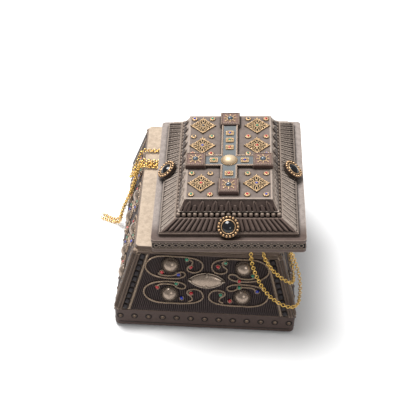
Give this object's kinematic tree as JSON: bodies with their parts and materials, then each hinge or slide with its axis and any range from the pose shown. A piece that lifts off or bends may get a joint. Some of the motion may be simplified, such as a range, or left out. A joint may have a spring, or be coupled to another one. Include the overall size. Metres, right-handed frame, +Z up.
{
  "type": "ornamental casket",
  "caption": "Flared reliquary-style trinket casket with riveted plinth, beaded panels, a stepped lift-off lid with a raised cross lying askew, and fine chains hanging out.",
  "frame": {"origin": "centre of the flat foot, on the surface the casket stands on", "axes": "+Z up, +X to the right along the front, +Y to the back"},
  "size_m": [0.1417, 0.1529, 0.1027],
  "materials": {
    "accent_gold": "old gold paint",
    "bead_dark": "dark worn beads",
    "chain_gold": "bright plated chain",
    "enamel_blue": "glossy",
    "enamel_dark": "glossy",
    "enamel_green": "glossy",
    "enamel_red": "glossy",
    "end_plate_rose": "rose-grey paint",
    "felt": "felt",
    "inlay_blue_grey": "blue-grey paint",
    "old_silver": "aged silver paint",
    "panel_dark": "fine ribs, almost black brown",
    "resin_body": "cast resin, dark bronze wash",
    "resin_lid": "cast resin, grey-brown with rubbed edges",
    "rim_cream": "smooth cream wash",
    "rubbed_bronze": "rubbed bronze",
    "stone_black": "polished",
    "stone_grey": "glossy"
  },
  "bodies": {
    "box": {"back_bosses": "old_silver", "back_panel": "panel_dark", "back_scroll_wires": "rubbed_bronze", "back_straps": "resin_body", "base_plinth": "resin_body", "boss_rings": "rubbed_bronze", "casket_body": "resin_body", "chain_corner": "chain_gold", "chain_front": "chain_gold", "chain_left_back": "chain_gold", "chain_left_front": "chain_gold", "chain_left_loop": "chain_gold", "cornice": "resin_body", "enamel_beads_blue": "enamel_blue", "enamel_beads_green": "enamel_green", "enamel_beads_red": "enamel_red", "felt_base_pad": "felt", "front_bosses": "old_silver", "front_panel": "panel_dark", "front_scroll_wires": "rubbed_bronze", "front_straps": "resin_body", "left_bosses": "old_silver", "left_panel": "panel_dark", "left_scroll_wires": "rubbed_bronze", "left_straps": "resin_body", "navette_plates": "old_silver", "plinth_rivets": "rubbed_bronze", "right_bosses": "old_silver", "right_panel": "panel_dark", "right_scroll_wires": "rubbed_bronze", "right_straps": "resin_body", "rim": "rim_cream", "strap_beads": "bead_dark"},
    "lid": {"centre_boss": "accent_gold", "cross_base": "resin_lid", "cross_end_back": "end_plate_rose", "cross_end_front": "end_plate_rose", "cross_end_left": "end_plate_rose", "cross_end_right": "end_plate_rose", "cross_end_stones": "stone_grey", "cross_inlay": "inlay_blue_grey", "cross_plaques": "accent_gold", "filigree_lozenges": "accent_gold", "gems_blue": "enamel_blue", "gems_dark": "enamel_dark", "gems_green": "enamel_green", "gems_red": "enamel_red", "lid_cove": "resin_lid", "lid_crown": "resin_lid", "lid_frieze": "resin_lid", "lid_lip": "resin_lid", "lid_plate": "resin_lid", "lid_step": "resin_lid", "medallion_back": "accent_gold", "medallion_front": "accent_gold", "medallion_left": "accent_gold", "medallion_right": "accent_gold", "medallion_stones": "stone_black", "pearl_border": "resin_lid", "rosettes": "accent_gold"}
  },
  "joints": [
    {"name": "lid_lift", "type": "slide", "parent": "box", "child": "lid", "axis": [0, 0, 1], "range_m": [0, 0.12]}
  ]
}
